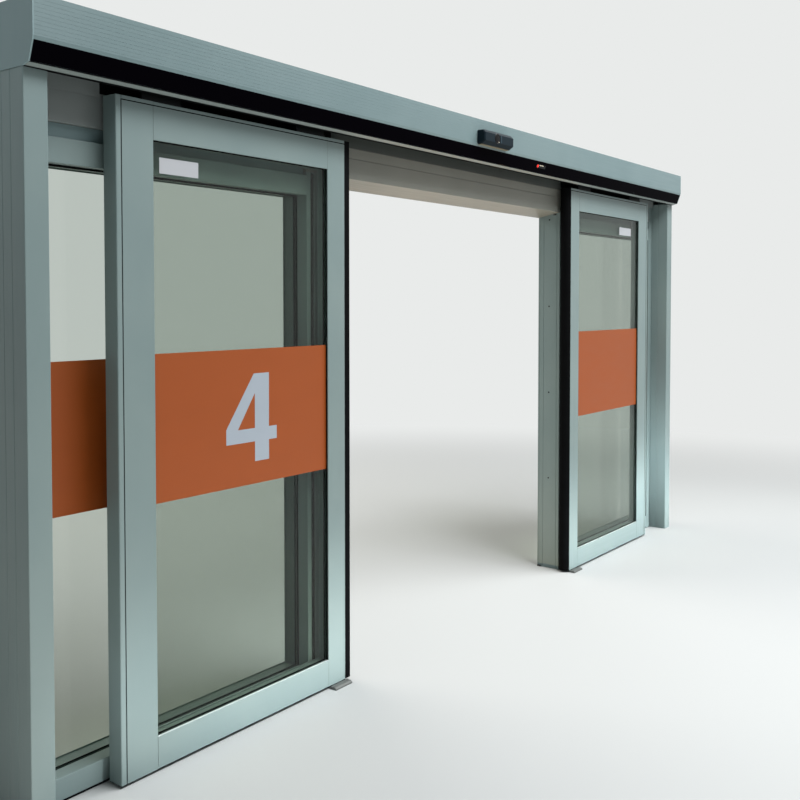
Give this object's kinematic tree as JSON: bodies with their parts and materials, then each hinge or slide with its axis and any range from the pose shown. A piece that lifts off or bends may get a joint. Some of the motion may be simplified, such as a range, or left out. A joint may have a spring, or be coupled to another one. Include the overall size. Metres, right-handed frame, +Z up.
{
  "type": "automatic sliding fire door",
  "caption": "Automatic sliding fire door in a grey-green metal frame: glazed leaves part in front of glazed side lights, under a straight operator header.",
  "frame": {"origin": "on the floor under the middle of the whole door, half way through its depth", "axes": "+X along the door to the right seen from the front, +Y into the building, +Z up"},
  "size_m": [4.88, 0.352, 2.409],
  "materials": {
    "grey_green_paint": "satin powder coat",
    "dark_aluminium": "dark anodised",
    "bright_aluminium": "clear anodised",
    "zinc_steel": "zinc plated",
    "grey_steel": "satin",
    "black_rubber": "matt",
    "black_gloss_plastic": "gloss",
    "sensor_plastic": "satin",
    "fire_glass": "clear with a faint warm tint"
  },
  "bodies": {
    "frame": {"transom": "grey_green_paint", "header_beam": "dark_aluminium", "header_cover": "grey_green_paint", "header_dark_strip": "black_gloss_plastic", "track_rail": "bright_aluminium", "drive_motor": "dark_aluminium", "idler_pulley": "dark_aluminium", "drive_belt": "black_rubber", "motion_sensor": "sensor_plastic", "left_post": "grey_green_paint", "left_jamb": "grey_green_paint", "left_sidelight_stile": "grey_green_paint", "left_sidelight_top_rail": "grey_green_paint", "left_sidelight_bottom_rail": "grey_green_paint", "left_sidelight_glass": "fire_glass", "left_head_panel": "grey_green_paint", "left_floor_guide": "grey_steel", "left_header_end_cap": "grey_green_paint", "right_post": "grey_green_paint", "right_jamb": "grey_green_paint", "right_sidelight_stile": "grey_green_paint", "right_sidelight_top_rail": "grey_green_paint", "right_sidelight_bottom_rail": "grey_green_paint", "right_sidelight_glass": "fire_glass", "right_head_panel": "grey_green_paint", "right_floor_guide": "grey_steel", "right_header_end_cap": "grey_green_paint"},
    "left_leaf": {"left_leaf_outer_stile": "grey_green_paint", "left_leaf_meeting_stile": "grey_green_paint", "left_leaf_top_rail": "grey_green_paint", "left_leaf_bottom_rail": "grey_green_paint", "left_leaf_edge_cap": "grey_green_paint", "left_leaf_glass": "fire_glass", "left_leaf_meeting_seal": "black_rubber", "left_leaf_bottom_seal": "black_rubber", "left_leaf_carriages": "zinc_steel"},
    "right_leaf": {"right_leaf_outer_stile": "grey_green_paint", "right_leaf_meeting_stile": "grey_green_paint", "right_leaf_top_rail": "grey_green_paint", "right_leaf_bottom_rail": "grey_green_paint", "right_leaf_edge_cap": "grey_green_paint", "right_leaf_glass": "fire_glass", "right_leaf_meeting_seal": "black_rubber", "right_leaf_bottom_seal": "black_rubber", "right_leaf_carriages": "zinc_steel"}
  },
  "joints": [
    {"name": "left_leaf_slide", "type": "slide", "parent": "frame", "child": "left_leaf", "axis": [1, 0, 0], "range_m": [0, 0.968]},
    {"name": "right_leaf_slide", "type": "slide", "parent": "frame", "child": "right_leaf", "axis": [-1, 0, 0], "range_m": [0, 0.968]}
  ],
  "couplings": [
    {"joint": "right_leaf_slide", "follows": "left_leaf_slide", "ratio": 1}
  ]
}
